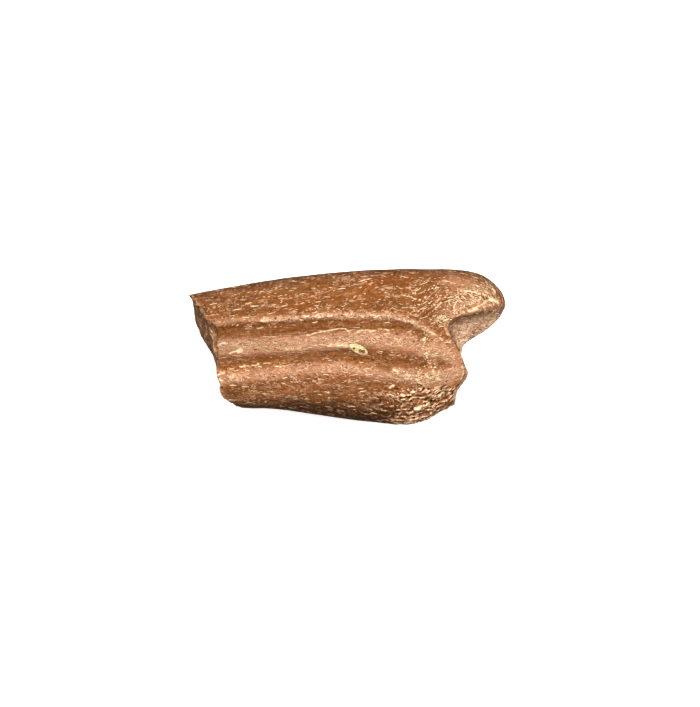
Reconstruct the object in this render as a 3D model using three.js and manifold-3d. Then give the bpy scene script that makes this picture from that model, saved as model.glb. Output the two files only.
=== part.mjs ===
// The butt end of a dinosaur's claw bone, turned to stone, lying on its side.
//
// One solid, "claw", in millimetres. +X runs from the snapped tip end to the joint end, +Y from
// the belly edge to the back edge, and +Z up from the surface that the bone lies on. The origin is
// the middle of the bounding box's bottom face, so z = 0 is the worn flat that it rests on.
//
// The bone is a loft of closed sections along X. Two cutters finish its ends: one leaves the
// oblique break where the claw's point snapped off, and the other leaves the joint face, two
// hollows with a keel between them, under the lip that stands out at the back edge.
import * as THREE from "three";
import { mergeVertices } from "three/addons/utils/BufferGeometryUtils.js";
import Module from "manifold-3d";

// Driving dimensions
const LENGTH = 48;
const HEIGHT = 23.6;
const THICKNESS = 15.2;
const WORN_FLAT = 0.3; // how much of the lower side is worn away where it rests
const GROOVE_DEPTH = 1.05;
const LIP_HEIGHT = 0.22; // the low crest along the upper groove
const LIP_RISE = 1.6; // how far that crest stands above the groove's middle
const BAND_HEIGHT = 0.7; // the middle of the sunk band between the grooves, along Y
const JOINT_HOLLOW = 0.86; // share of the half thickness over which a joint hollow opens
const JOINT_CUP = 1.6; // how cupped a joint hollow is: 1 is a plain half wave
const SWELL_BACK = 0.88; // how full a section is at its back and belly: 1 is a plain oval
const SWELL_SIDE = 0.74; // how flat its sides are: 1 is a plain oval

// Mesh fineness
const STATIONS = 36;
const AROUND = 104;
const CUT_LEVELS = 24; // steps of a cutter along Z
const CUT_STEPS = 32; // steps of a cutter along its face
const CROWDING = 1.35; // how much closer together the stations are near the lip

const HALF_LENGTH = LENGTH / 2;
const HALF_HEIGHT = HEIGHT / 2;
const LOFT_START = -HALF_LENGTH - 3; // past the break, which the cutter takes off
const LOFT_END = HALF_LENGTH - 0.05;
const CUTTER_REACH = HALF_LENGTH + 8; // how far out a cutter runs
const CUTTER_MARGIN = 1; // how far it runs past the bone above and below
const THIN_END = 3; // half a section's thickness under which it has no grooves

/** A smooth function of one number through [place, value] points, level past both ends. */
function profile(points) {
  const places = points.map(([place]) => place);
  const values = points.map(([, value]) => value);
  const curve = new THREE.CubicInterpolant(places, values, 1, new Float64Array(1));
  return (place) => curve.evaluate(place)[0];
}

// Back and belly edges of the loft, seen from the side
const backEdge = profile([
  [-27, 7.4], [-19.4, 8.9], [-10.3, 10.4], [-1.1, 11.4], [6, HALF_HEIGHT], [14, HALF_HEIGHT],
  [17.1, 11.7], [19, 11.4], [20.8, 10.75], [22.4, 9.5], [23.4, 8.3], [23.95, 6.9],
]);
const bellyEdge = profile([
  [-27, -9.2], [-15.8, -9.4], [-10.3, -9.6], [-2, -10.8], [3.4, -11.5], [7.8, -HALF_HEIGHT],
  [10.7, -11.55], [12.7, -10.65], [14.1, -9.75], [16.4, -8.5], [19, -4.6], [21.5, 0.5], [23.2, 4.6],
  [23.95, 6],
]);

// Thickness, and the height of the middle plane: the lower side is level up to the joint
const thickness = profile([
  [-27, 11.4], [-20, 12.1], [-10, 12.9], [0, 13.7], [8, 14.6], [13, THICKNESS],
  [16, 14.7], [18.5, 12.4], [21, 9.4], [23, 6], [23.95, 3],
]);
const middle = (x) => thickness(Math.min(x, 13)) / 2;

// The two blood-vessel grooves on each side: their course along the bone, and how deep they run
const upperGroove = profile([[-27, 1.6], [-20, 2.1], [-12, 2.9], [-2, 3.4], [6, 3.3], [12, 1.6]]);
const upperDepth = profile([[-27, 1], [4, 1], [9, 0.75], [12, 0.1], [14, 0]]);
const lowerGroove = profile([
  [-27, -2.9], [-20, -2.5], [-10.3, -2], [-5.4, -1.2], [-2, -1.4], [4.6, -2.1], [9, -2.5], [16, -2.5],
]);
const lowerDepth = profile([[-27, 0.9], [-8, 1], [-3, 1.1], [6, 0.8], [12, 0.6], [17, 0.5]]);

const bell = (offset, width) => Math.exp(-((offset / width) ** 2));

/** How far the side stands in from a plain oval at (x, y): grooves and the band between them. */
function recess(x, y, upper) {
  const bandDepth = upper ? 0.45 : 0.1;
  const band = bandDepth * bell(y - BAND_HEIGHT, 2.9) * upperDepth(x);
  const lip = LIP_HEIGHT * upperDepth(x) * bell(y - upperGroove(x) - LIP_RISE, LIP_RISE / 2);
  const first = upperDepth(x) * bell(y - upperGroove(x), 0.95);
  const second = lowerDepth(x) * bell(y - lowerGroove(x), 0.85);
  return band - lip + GROOVE_DEPTH * (first + second);
}

/** How far a section's points stand aside at (x, y), so that a row of them runs in the lower groove. */
const drift = (x, y) => (lowerGroove(x) - lowerGroove(0)) * bell(y - lowerGroove(0), 2.2);

/** One closed section of the loft, walked from the back edge over the upper side to the belly. */
function section(x) {
  const half = (backEdge(x) - bellyEdge(x)) / 2;
  const centre = (backEdge(x) + bellyEdge(x)) / 2;
  const swell = thickness(x) / 2;
  return Array.from({ length: AROUND }, (_, i) => {
    const angle = (2 * Math.PI * i) / AROUND;
    const [across, out] = [Math.cos(angle), Math.sin(angle)];
    const evenly = centre + half * Math.sign(across) * Math.abs(across) ** SWELL_BACK;
    const y = evenly + drift(x, evenly);
    const upper = out > 0;
    const fade = Math.min(1, Math.abs(out) * 1.3);
    const sunk = swell > THIN_END ? fade * recess(x, y, upper) : 0;
    const z = swell * Math.abs(out) ** SWELL_SIDE - sunk;
    return new THREE.Vector3(x, y, middle(x) + (upper ? z : -z));
  });
}

/** The triangles that fill a flat ring, square to X or else square to Z. */
function flatFaces(ring, squareToX) {
  const flat = ring.map(({ x, y, z }) => (squareToX ? new THREE.Vector2(y, z) : new THREE.Vector2(x, y)));
  return THREE.ShapeUtils.triangulateShape(flat, []);
}

/** A closed solid's geometry skinned over rings of equal count, with flat ends. */
function loft(rings, alongX) {
  const count = rings[0].length;
  const index = [];
  for (let r = 0; r + 1 < rings.length; r++) {
    for (let i = 0; i < count; i++) {
      const [a, b] = [r * count + i, r * count + ((i + 1) % count)];
      index.push(a, b, a + count, b, b + count, a + count);
    }
  }
  const last = (rings.length - 1) * count;
  for (const [a, b, c] of flatFaces(rings[0], alongX)) index.push(a, c, b);
  for (const [a, b, c] of flatFaces(rings.at(-1), alongX)) index.push(last + a, last + b, last + c);
  return new THREE.BufferGeometry().setFromPoints(rings.flat()).setIndex(index);
}

/** The whole bone before its ends are cut, with its stations closer together near the lip. */
function bone() {
  const rings = Array.from({ length: STATIONS + 1 }, (_, i) => {
    const share = 1 - (1 - i / STATIONS) ** CROWDING;
    return section(THREE.MathUtils.lerp(LOFT_START, LOFT_END, share));
  });
  return loft(rings, true);
}

// The break's edge on the upper side, and how far the break leans out below that edge
const breakEdge = profile([
  [-12, -14], [-9.9, -14.6], [-9.3, -16.6], [-8.4, -18], [-7, -18.9], [-5.3, -19.5], [-3.6, -20],
  [-1.6, -20.1], [0.3, -19.9], [1.8, -20.3], [3.6, -20.8], [5, -21.7], [6.2, -22.3], [8, -23.9],
  [10, -25.4],
]);
const breakLean = profile([
  [-3.5, 0], [-2.2, 0.1], [-1.1, 0.9], [0.1, 2], [1.3, 2.6], [2.5, 2.65], [3.7, 2.3], [5, 1.9],
  [6.2, 1.8], [7.2, 0.9], [8, 0],
]);

/** The break's face at height z, as points from the belly side to the back. */
function breakFace(z) {
  const lean = THREE.MathUtils.clamp(1.3 * (1 - z / thickness(-20)), 0, 1);
  return Array.from({ length: CUT_STEPS + 1 }, (_, i) => {
    const y = THREE.MathUtils.lerp(-12, 11, i / CUT_STEPS);
    const waves = 0.2 * Math.sin(0.9 * y + 0.5 * z) + 0.14 * Math.sin(0.8 * z - 1.2 * y + 1);
    return new THREE.Vector2(breakEdge(y) - lean * breakLean(y) + waves, y);
  });
}

// The joint face in side view: the keel's edge, and the deeper edge where a hollow meets the side
const keelLine = new THREE.SplineCurve([
  [25.5, 7.6], [24, 6.1], [23.4, 4.7], [22.3, 3.45], [21.1, 2.4], [19.4, 1.35], [17.7, 0.2], [17.3, -1],
  [17.5, -2.6], [18.4, -3.9], [18, -5], [16.6, -6.7], [16.4, -8.3], [16.6, -9.6], [17, -13.5],
].map(([x, y]) => new THREE.Vector2(x, y)));
const hollowLine = new THREE.SplineCurve([
  [25.5, 6.7], [23.9, 6.1], [21.6, 5.6], [19.3, 5.05], [17, 4.5], [15.5, 3.9], [15, 2.8], [15.6, 1.2],
  [16.8, -0.8], [17.7, -3.6], [17.4, -5], [16, -6.7], [15.7, -8.2], [16.2, -9.6], [17, -13.5],
].map(([x, y]) => new THREE.Vector2(x, y)));

/** The joint face at height z, as points from the lip to the belly. */
function jointFace(z) {
  const aside = Math.min(1, Math.abs(z - THICKNESS / 2) / (JOINT_HOLLOW * THICKNESS / 2));
  const opening = Math.sin((Math.PI / 2) * aside) ** JOINT_CUP;
  return Array.from({ length: CUT_STEPS + 1 }, (_, i) => {
    const t = i / CUT_STEPS;
    return keelLine.getPoint(t).lerp(hollowLine.getPoint(t), opening);
  });
}

/** A solid that takes off everything from a face, given level by level, out to x = far. */
function cutter(faceAt, far) {
  const rings = Array.from({ length: CUT_LEVELS + 1 }, (_, i) => {
    const z = THREE.MathUtils.lerp(-CUTTER_MARGIN, THICKNESS + CUTTER_MARGIN, i / CUT_LEVELS);
    const face = faceAt(z);
    const corners = [new THREE.Vector2(far, face.at(-1).y), new THREE.Vector2(far, face[0].y)];
    return [...face, ...corners].map(({ x, y }) => new THREE.Vector3(x, y, z));
  });
  return loft(rings, false);
}

const wasm = await Module();
wasm.setup();

/** A closed geometry as a manifold-3d solid. */
function solid(geometry) {
  geometry.deleteAttribute("normal").deleteAttribute("uv");
  const merged = mergeVertices(geometry, 1e-4);
  const triVerts = new Uint32Array(merged.index.array);
  const vertProperties = new Float32Array(merged.attributes.position.array);
  return new wasm.Manifold(new wasm.Mesh({ numProp: 3, vertProperties, triVerts }));
}

/** A manifold-3d solid as a flat-shaded geometry. */
function geometryOf(made) {
  const { vertProperties, triVerts } = made.getMesh();
  const geometry = new THREE.BufferGeometry()
    .setAttribute("position", new THREE.BufferAttribute(new Float32Array(vertProperties), 3))
    .setIndex(new THREE.BufferAttribute(triVerts, 1))
    .toNonIndexed();
  geometry.computeVertexNormals();
  return geometry;
}

const underside = new THREE.BoxGeometry(2 * LENGTH, 2 * HEIGHT, 4).translate(0, 0, WORN_FLAT - 2);
const claw = solid(bone())
  .subtract(solid(cutter(breakFace, -CUTTER_REACH)))
  .subtract(solid(cutter(jointFace, CUTTER_REACH)))
  .subtract(solid(underside));

const geometry = geometryOf(claw);
geometry.computeBoundingBox();
const { min, max } = geometry.boundingBox;
geometry.translate(-(min.x + max.x) / 2, -(min.y + max.y) / 2, -min.z);

const fossilBone = new THREE.MeshStandardMaterial({ color: 0xb07a52, roughness: 0.62, metalness: 0 });
const mesh = new THREE.Mesh(geometry, fossilBone);
mesh.name = "claw";

const fossil = new THREE.Group();
fossil.add(mesh);

export default fossil;
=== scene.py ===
"""The butt end of a dinosaur's claw bone, turned to stone, lying on its side on a pale table.

The CAD solid holds the fossil's size and main forms. A copy of it is remeshed finely and carved:
vessel grooves and crests along the sides, fibres and pores in the bone, a worn knob where the
tendon was tied, a wrinkled joint face, the snapped end, and a vessel hole filled with pale mineral.
What the carving finds out about each place, such as how worn it is or how much painted shade it
gets, is kept on the mesh, and the finish reads it.
"""

import logging
import math
from collections.abc import Callable, Sequence
from dataclasses import dataclass
from enum import Enum

import bmesh
import bpy
import numpy as np
from mathutils import Matrix, Vector, noise
from mathutils.bvhtree import BVHTree


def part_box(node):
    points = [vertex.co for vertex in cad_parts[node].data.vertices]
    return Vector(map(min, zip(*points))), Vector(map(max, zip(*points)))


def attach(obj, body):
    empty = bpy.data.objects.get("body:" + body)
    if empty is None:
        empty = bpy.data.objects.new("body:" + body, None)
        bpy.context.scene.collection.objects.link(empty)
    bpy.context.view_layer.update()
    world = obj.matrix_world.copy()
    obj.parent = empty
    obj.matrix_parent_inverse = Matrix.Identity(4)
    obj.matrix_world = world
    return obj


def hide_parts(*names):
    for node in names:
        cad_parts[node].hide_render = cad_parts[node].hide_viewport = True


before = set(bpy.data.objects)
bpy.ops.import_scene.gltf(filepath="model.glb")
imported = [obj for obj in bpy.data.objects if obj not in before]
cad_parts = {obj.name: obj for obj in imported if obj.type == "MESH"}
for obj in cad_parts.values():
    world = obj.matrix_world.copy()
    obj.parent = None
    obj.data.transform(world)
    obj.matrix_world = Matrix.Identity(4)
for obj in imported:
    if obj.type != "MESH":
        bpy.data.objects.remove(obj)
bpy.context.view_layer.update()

logging.basicConfig(level=logging.INFO, format="%(message)s")
log = logging.getLogger("fossil")

MM = 0.001
FAR = 9.0  # further away than anything that counts as near
Array = np.ndarray
Course = tuple[tuple[float, float], ...]


class Zone(Enum):
    """The kinds of surface on the bone."""

    SIDE = "side"
    BROKEN = "broken"
    JOINT = "joint"


class Reach(Enum):
    """Which sides of the bone a stroke is on."""

    UPPER = "upper"
    BOTH = "both"


class Look(Enum):
    """What a stroke looks like."""

    # paler worn crests and flats, partly a painted sheen
    RUBBED_AND_SHEEN = "rubbed_and_sheen"
    # darker grooves, creases and hollows, partly the bone's own colour and partly painted shade
    STAINED_AND_SHADED = "stained_and_shaded"
    # pale mineral, and along the joint's rim and the ridge by it a painted highlight
    CHALKY_AND_HIGHLIGHT = "chalky_and_highlight"


# Helpers on numbers


def eased(low: float, high: float, value: Array) -> Array:
    """Returns 0 up to low and 1 past high, with an eased rise between; low may be the larger."""
    share = np.clip((value - low) / (high - low), 0, 1)
    return share * share * (3 - 2 * share)


def bell(offset: Array, width: float) -> Array:
    """Returns 1 at no offset, falling off like a bell curve."""
    return np.exp(-((offset / width) ** 2))


def halfway(share: Array) -> Array:
    """Returns 1 where a share is a half, falling to 0 where it is none or all."""
    return np.clip(4 * share * (1 - share), 0, 1)


def along(course: Course, x: Array) -> Array:
    """Returns a course's second number at each x, straight between its points."""
    return np.interp(x, *np.array(course).T)


def sampled(sampler: Callable[[Sequence[float]], float], points: Array, grain: Sequence[float]) -> Array:
    """Samples a noise at each point.

    Args:
        sampler: a function of one place in the noise.
        points: the points, in mm.
        grain: the size of the noise's features along each axis, in mm.

    Returns:
        One value for each point.
    """
    return np.array([sampler(place) for place in (points / np.array(grain)).tolist()])


def rough(place: Sequence[float]) -> float:
    """Returns a fractal noise of four octaves, about -1 to 1."""
    return noise.fractal(place, 1.0, 2.0, 4)


def ridged(place: Sequence[float]) -> float:
    """Returns a fractal noise with sharp ridges, about 0 to 3."""
    return noise.ridged_multi_fractal(place, 1.0, 2.0, 3, 1.0, 2.0)


def cell_middle(place: Sequence[float]) -> float:
    """Returns the distance to the middle of the nearest cell of a foam."""
    return noise.voronoi(place)[0][0]


def curved(course: Course, steps: int = 6) -> Array:
    """Makes a smooth curve through a course's own points.

    Args:
        course: the points to go through.
        steps: how many points to make from one of them to the next.

    Returns:
        The points on the curve, one row each.
    """
    given = np.array(course)
    padded = np.vstack([2 * given[0] - given[1], given, 2 * given[-1] - given[-2]])
    made = []
    for before, start, end, after in zip(padded, padded[1:], padded[2:], padded[3:]):
        for share in np.arange(steps) / steps:
            bend = (2 * before - 5 * start + 4 * end - after) * share**2
            twist = (3 * start - before - 3 * end + after) * share**3
            made.append((2 * start + (end - before) * share + bend + twist) / 2)
    return np.array([*made, given[-1]])


def distance_to(line: Array, x: Array, y: Array) -> Array:
    """Measures how far places are from a line of points.

    Args:
        line: the line's points, one row each.
        x: the places' first numbers, in mm.
        y: their second numbers, in mm.

    Returns:
        The distance of each place from the line, in mm.
    """
    best = np.full(len(x), np.inf)
    for start, end in zip(line, line[1:]):
        step = end - start
        share = ((x - start[0]) * step[0] + (y - start[1]) * step[1]) / (step @ step)
        share = np.clip(share, 0, 1)
        gap = np.hypot(x - start[0] - share * step[0], y - start[1] - share * step[1])
        best = np.minimum(best, gap)
    return best


def linear(colour: str) -> tuple[float, float, float, float]:
    """Turns an sRGB hex colour into the linear colour that a shader takes."""
    parts = [int(colour[i : i + 2], 16) / 255 for i in (1, 3, 5)]
    return (*(p / 12.92 if p <= 0.04045 else ((p + 0.055) / 1.055) ** 2.4 for p in parts), 1.0)


def add(tree: bpy.types.NodeTree, kind: str, settings: dict, inputs: dict) -> bpy.types.Node:
    """Adds a node to a material.

    Args:
        tree: the material's nodes.
        kind: the node's type.
        settings: the node's own properties, by name.
        inputs: a value, or another node's output to link, for each input by name or number.

    Returns:
        The new node.
    """
    node = tree.nodes.new(kind)
    for name, value in settings.items():
        setattr(node, name, value)
    for name, value in inputs.items():
        if isinstance(value, bpy.types.NodeSocket):
            tree.links.new(value, node.inputs[name])
        else:
            node.inputs[name].default_value = value
    return node


# The bone


@dataclass(frozen=True)
class Stroke:
    """One ridge or furrow along a side of the bone.

    Attributes:
        name: what it is.
        course: its course on the side, as (x, y) in mm.
        width: how far it reaches from its middle, in mm.
        rise: how far it stands out, in mm; a furrow's is negative.
        amount: how strongly it shows its look, from 0 to 1.
        patchy: how far gaps break it up, from 0 to 1.
        reach: which sides it is on.
    """

    name: str
    course: Course
    width: float
    rise: float
    amount: float
    patchy: float
    reach: Reach = Reach.UPPER


@dataclass(frozen=True)
class Relief:
    """A fine relief that a noise makes.

    Attributes:
        sampler: the noise.
        size: how long, wide and deep its features are, in mm.
        height: how far they stand out, in mm; a pit's is negative.
        shift: where in the noise it starts, so that no two reliefs are alike.
    """

    sampler: Callable[[Sequence[float]], float]
    size: tuple[float, float, float]
    height: float
    shift: float = 0.0

    def at(self, points: Array) -> Array:
        """Returns its height at each point, in mm."""
        return self.height * sampled(self.sampler, points + self.shift, self.size)


@dataclass(frozen=True)
class Patch:
    """A soft-edged patch on both sides of the bone.

    Attributes:
        course: the point it lies round, or the points it follows, as (x, y) in mm.
        width: how far it reaches from them, in mm.
        amount: how strong it is in its middle.
        stretch: how many times longer than wide a round patch is.
    """

    course: Course
    width: float
    amount: float
    stretch: float = 1.0

    def at(self, x: Array, y: Array) -> Array:
        """Works out how strong it is at some places.

        Args:
            x: the places' distances along the bone, in mm.
            y: their heights on its side, in mm.

        Returns:
            Its strength at each place.
        """
        if len(self.course) == 1:
            middle_x, middle_y = self.course[0]
            away = np.hypot((x - middle_x) / self.stretch, y - middle_y)
        else:
            away = distance_to(np.array(self.course), x, y)
        return self.amount * bell(away, self.width)


STROKES = {
    # Paler strokes on crests, ridges and flats: worn bone, partly a painted sheen.
    Look.RUBBED_AND_SHEEN: (
        Stroke("upper crest", ((-12.5, 4), (-6.9, 4.25), (-3.8, 4.6), (1.9, 4.55), (6.6, 4.4),
               (8.9, 3.85), (11.3, 2.7), (12.4, 1.9)), 0.56, 0.16, 1, 0.2, Reach.BOTH),
        Stroke("crest's faint end", ((-20.4, 3.4), (-16.2, 3.95), (-12, 4)), 0.6, 0.1, 0.55, 0.3,
               Reach.BOTH),
        Stroke("middle ridge", ((-19.6, -0.2), (-15.5, 0), (-8.5, 0.3), (-2.2, 0.7), (3, 1.1),
               (8.2, 0.6)), 1.35, 0.12, 0.92, 0.25, Reach.BOTH),
        Stroke("ridge to the hole", ((-9.3, -0.6), (-6.9, -0.4), (-4.6, 0), (-1.4, 0.3), (0.4, 0.1)), 0.5,
               0.2, 0.6, 0.3),
        Stroke("lower crest", ((-18.8, -5), (-10, -3.9), (-5.3, -3.4), (-0.7, -3.25), (1.9, -3.6),
               (6.6, -4.5)), 1.05, 0.14, 0.74, 0.3, Reach.BOTH),
        Stroke("worn belly", ((-14, -6.4), (-5, -6.2), (3, -6.4)), 1.6, 0, 0.28, 0.6, Reach.BOTH),
        Stroke("worn flat by the hole", ((5, 0.9), (8, 0.5), (10.6, 0), (12.6, -0.8)), 1.4, 0.04, 0.8,
               0.3, Reach.BOTH),
        Stroke("worn side of the joint", ((13, -0.2), (14.6, -1), (16, -2.2), (16.2, -4)), 1.4, 0.05,
               0.82, 0.3, Reach.BOTH),
        Stroke("worn knob top", ((7.5, -4.1), (11, -4.6), (15.2, -4.6)), 1.2, 0.05, 1, 0.3, Reach.BOTH),
        Stroke("worn side of the lip", ((15.4, 5.4), (18.4, 6.4), (21.6, 7)), 1.35, 0.04, 0.5, 0.25,
               Reach.BOTH),
        Stroke("worn top of the lip", ((15.8, 9.8), (18.5, 9.3), (21.5, 8.3)), 1.6, 0.03, 0.45, 0.3,
               Reach.BOTH),
    ),
    # Darker strokes in grooves, creases, folds and hollows: partly the bone's own colour and partly painted
    # shade.
    Look.STAINED_AND_SHADED: (
        Stroke("upper groove", ((-20, 2), (-16.2, 2.25), (-12, 2.2), (-7.6, 2.8), (-0.7, 3.4), (5, 3.25),
               (8.5, 3), (11.3, 2)), 0.75, -0.08, 0.6, 0.3, Reach.BOTH),
        Stroke("groove's deep line", ((-13.1, 2.1), (-10, 2.4), (-6.9, 2.75), (-2, 2.95), (3, 2.85),
               (8.2, 2.9)), 0.2, -0.16, 0.4, 0.7, Reach.BOTH),
        Stroke("lower groove", ((-19.6, -2.9), (-13.1, -2.1), (-8, -1.9), (-5.4, -1.6), (-0.7, -1.4),
               (1.9, -1.9), (4.7, -2.15), (8.2, -2.6), (14.4, -2.7)), 0.55, -0.08, 0.6, 0.3, Reach.BOTH),
        Stroke("lower deep line", ((-10.6, -2.85), (-9.1, -2.65), (-8, -1.95), (-6.9, -1.6)), 0.14, -0.14,
               0.7, 0.3),
        Stroke("lower deep line's end", ((0.4, -1.85), (3.5, -1.95), (6.6, -2.4), (8.2, -2.7)), 0.16,
               -0.12, 0.5, 0.6, Reach.BOTH),
        Stroke("dark hollow", ((-3.8, -1.2), (-1, -0.8), (0.5, -1.1)), 0.45, -0.12, 0.5, 0.3),
        Stroke("rust by the joint", ((13.9, -2.5), (15.2, -2.9)), 0.5, -0.1, 0.85, 0.2),
        Stroke("knob top's furrow", ((8.8, -3.6), (10.4, -4.2), (12.1, -4.7)), 0.2, -0.12, 0.5, 0.5),
        Stroke("dark hollow in the knob", ((11.9, -8), (12.8, -8.5), (13.4, -8.3)), 0.5, -0.2, 0.9, 0.3),
        Stroke("darkened side of the knob", ((12.6, -9.6), (14.4, -8.6), (16, -7.3)), 0.7, -0.03, 0.6, 0.5),
        Stroke("crease by the joint", ((12.2, 2.8), (13.3, 2.4), (14.4, 1.5), (15.9, 0.9), (16.7, -0.6)),
               0.17, -0.14, 0.6, 0.5, Reach.BOTH),
        Stroke("lip's fold", ((17.3, 7.95), (18.9, 7.6), (20.8, 7.2)), 0.22, -0.12, 0.6, 0.3),
        Stroke("second fold of the lip", ((17.4, 6.9), (19, 6.8), (20.6, 6.5)), 0.14, -0.1, 0.5, 0.5),
    ),
    Look.CHALKY_AND_HIGHLIGHT: (
        Stroke("crest's crumbs", ((-13, 4), (-6.9, 4.35), (-3.8, 4.7), (1.9, 4.65), (6.6, 4.4),
               (8.9, 3.85), (11.3, 2.7)), 0.26, 0.08, 0.66, 1),
        Stroke("groove's pale lip", ((-6.1, 1.7), (-4.6, 2), (-3, 2.35), (-0.7, 2.6), (0.25, 2.3)), 0.13,
               0.12, 1, 0.3),
        Stroke("pale lip's crumbs", ((0.4, 2), (1.4, 2.05), (2.4, 2.4), (3.5, 2.3), (4.6, 2.5),
               (6.3, 2.35)), 0.17, 0.1, 0.9, 0.7),
        Stroke("crumbs in the groove", ((-13.1, 1.5), (-11.5, 1.45), (-10.4, 1.35)), 0.16, 0.1, 0.8, 0.9),
        Stroke("streak to the hole", ((-2.6, 0.2), (-0.6, 0.15), (0.5, 0)), 0.27, 0.06, 0.85, 0.3),
        Stroke("thread under the groove", ((-16.2, -3.05), (-15, -2.95), (-13.5, -2.75)), 0.16, 0.06,
               0.95, 0.3),
        Stroke("second thread", ((-12, -3.2), (-10, -3), (-8.5, -2.7)), 0.12, 0.06, 0.85, 0.6),
        Stroke("third thread", ((-7, -1.75), (-4.7, -1.75), (-2.5, -1.7)), 0.12, 0.04, 0.6, 0.9),
        Stroke("pale patch by the break", ((-19.3, -5.1), (-18.4, -4.9), (-17.7, -4.75)), 0.5, 0.08, 0.85,
               0.75),
        Stroke("patch's upper edge", ((-19.9, -4.2), (-18.6, -4.1)), 0.14, 0.05, 0.8, 0.3),
        Stroke("pale chip by the break", ((-19.5, 0), (-19.1, 0.3), (-18.5, 0.4)), 0.15, 0.06, 0.85, 0.3),
        Stroke("pale spot", ((-16.35, -0.6), (-15.95, -0.45)), 0.42, 0.06, 0.95, 0.3),
        Stroke("spot's tail", ((-17.8, -1.1), (-16.9, -0.8)), 0.2, 0.02, 0.8, 0.3),
        Stroke("scratch", ((6.4, 0.45), (8.2, 1), (10.3, 1.45)), 0.09, -0.03, 0.6, 0.5),
        Stroke("long scratch", ((-11.1, 5.9), (-9.4, 6.1), (-7.7, 6.35)), 0.1, 0.03, 0.75, 0.4),
        Stroke("dashes at the back", ((0.4, 9.5), (1.2, 9.6), (2.25, 9.95), (3.9, 10.2)), 0.11, 0.03,
               0.85, 0.7),
        Stroke("thread on the back", ((4.7, 6.9), (6.6, 7.65), (8.8, 7.5), (10.3, 7.05), (12, 6.9)), 0.09,
               0.03, 0.8, 0.8),
        Stroke("second thread on the back", ((0.4, 6.5), (2.5, 6.75), (5.2, 6.7)), 0.08, 0.03, 0.7, 0.8),
        Stroke("chalky band", ((11.4, 1.5), (11.6, 0), (11.9, -0.9), (11.8, -1.7), (12.6, -3),
               (12.9, -4)), 0.3, 0.06, 0.8, 0.65),
        Stroke("knob top's patch", ((6.9, -3.6), (7.5, -3.9)), 0.32, 0.1, 0.9, 0.3),
        Stroke("knob top's ridge", ((8.4, -4.6), (10.2, -5.2), (12, -5.6)), 0.3, 0.14, 0.6, 0.6),
        Stroke("knob top's first fleck", ((8.8, -4.1), (9.3, -4.4)), 0.2, 0.1, 0.9, 0.2),
        Stroke("knob top's second fleck", ((10.2, -5.1), (10.8, -5.4)), 0.2, 0.1, 0.9, 0.2),
        Stroke("knob top's third fleck", ((11.6, -4.3), (12.1, -4.6)), 0.2, 0.1, 0.9, 0.2),
        Stroke("knob top's fourth fleck", ((13.4, -4.7), (13.9, -5)), 0.2, 0.1, 0.8, 0.2),
        Stroke("knob's pale tip", ((6.4, -6.1), (6.8, -5.9)), 0.32, 0.14, 1, 0.3),
        Stroke("knob's pale corner", ((6.9, -7.6), (8.3, -7.4), (9.8, -6.8)), 0.3, 0.22, 0.6, 0.5),
        Stroke("white patch on the knob", ((10.2, -9.3), (11.3, -9.05)), 0.36, 0.12, 1, 0.5),
        Stroke("pale ridge under the knob", ((6.3, -10.6), (8, -10.9), (10.4, -10.9)), 0.22, 0.1, 0.6,
               0.6),
        Stroke("lowest pale ridge", ((7, -11.4), (9, -11.4), (11.5, -11)), 0.16, 0.1, 0.6, 0.6),
        # A painted highlight along the ridge by the joint.
        Stroke("ridge by the joint", ((12.5, 2), (13.3, 1.5), (14.1, 0.9)), 0.26, 0.14, 0.6, 0.4),
        # A painted highlight along the joint's rim.
        Stroke("joint rim", ((23, 6.6), (21.1, 6.1), (19, 5.5), (16.4, 4.8), (15, 4.2), (14.4, 3),
               (14.9, 1.8)), 0.3, 0.1, 0.6, 0.75, Reach.BOTH),
        Stroke("pale corner of the joint", ((17.2, -3), (17.3, -4), (17, -4.9)), 0.16, 0.08, 0.8, 0.4),
        Stroke("rim beside the keel", ((15.9, 1), (16.6, -0.2), (17.1, -1.6), (17.3, -3.4)), 0.14, 0.06,
               0.6, 0.6, Reach.BOTH),
        Stroke("threads on the lip", ((17, 6.1), (18.4, 6.35), (19.7, 6.4)), 0.1, 0.05, 0.75, 0.6),
        Stroke("more threads on the lip", ((17.3, 9.3), (18.8, 9.3), (20.4, 8.8)), 0.1, 0.04, 0.8, 0.6),
        Stroke("thread by the lip's end", ((18.6, 5.6), (20.2, 6.3), (21.2, 6.9)), 0.12, 0.05, 0.8, 0.5),
        Stroke("root of the lip", ((16.5, 8.6), (16.6, 7.2), (15.9, 6), (15.9, 5)), 0.14, 0.16, 0.7, 0.7),
        Stroke("upper lip ridge", ((17, 8.45), (18.8, 8.1), (21, 7.6)), 0.13, 0.14, 0.95, 0.3),
        Stroke("end of the lip", ((20.7, 6.8), (21.7, 7), (22.6, 6.8)), 0.32, 0.1, 0.85, 0.4),
        Stroke("pale spot by the lip", ((12.9, 6.3), (13.1, 6.2)), 0.22, 0.08, 0.9, 0.3),
    ),
}


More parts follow.
